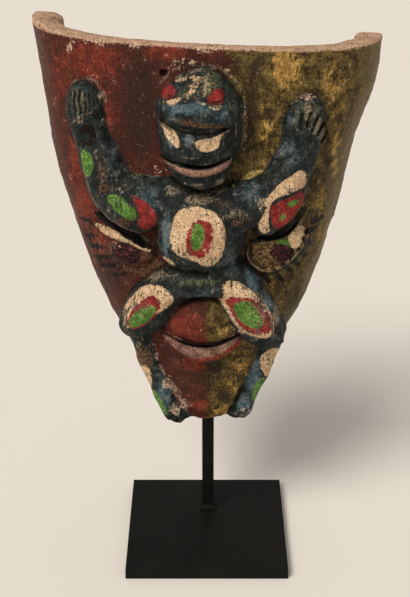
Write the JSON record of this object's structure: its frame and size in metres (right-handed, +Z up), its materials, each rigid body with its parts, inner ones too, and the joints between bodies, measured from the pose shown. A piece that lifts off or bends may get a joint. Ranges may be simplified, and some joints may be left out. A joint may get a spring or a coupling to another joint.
{
  "type": "painted wooden face mask on stand",
  "caption": "Carved and painted wooden face mask with a crouching blue figure in relief, hollow behind, held up by a black steel bar on a square base plate.",
  "frame": {"origin": "middle of the base plate's underside, on the surface that the stand rests on", "axes": "+Z up, the mask's face looks along -Y, +X to the viewer's right"},
  "size_m": [0.2509, 0.1303, 0.4124],
  "materials": {
    "painted_wood": "worn matte paint over carved wood: red left, ochre-olive right, blue figure, cream, red and green spots",
    "black_steel_bar": "satin black paint",
    "black_steel_plate": "matte black paint, faintly scuffed"
  },
  "bodies": {
    "root": {"mask": "painted_wood", "stand_post": "black_steel_bar", "stand_peg": "black_steel_bar", "base_plate": "black_steel_plate"}
  },
  "joints": []
}
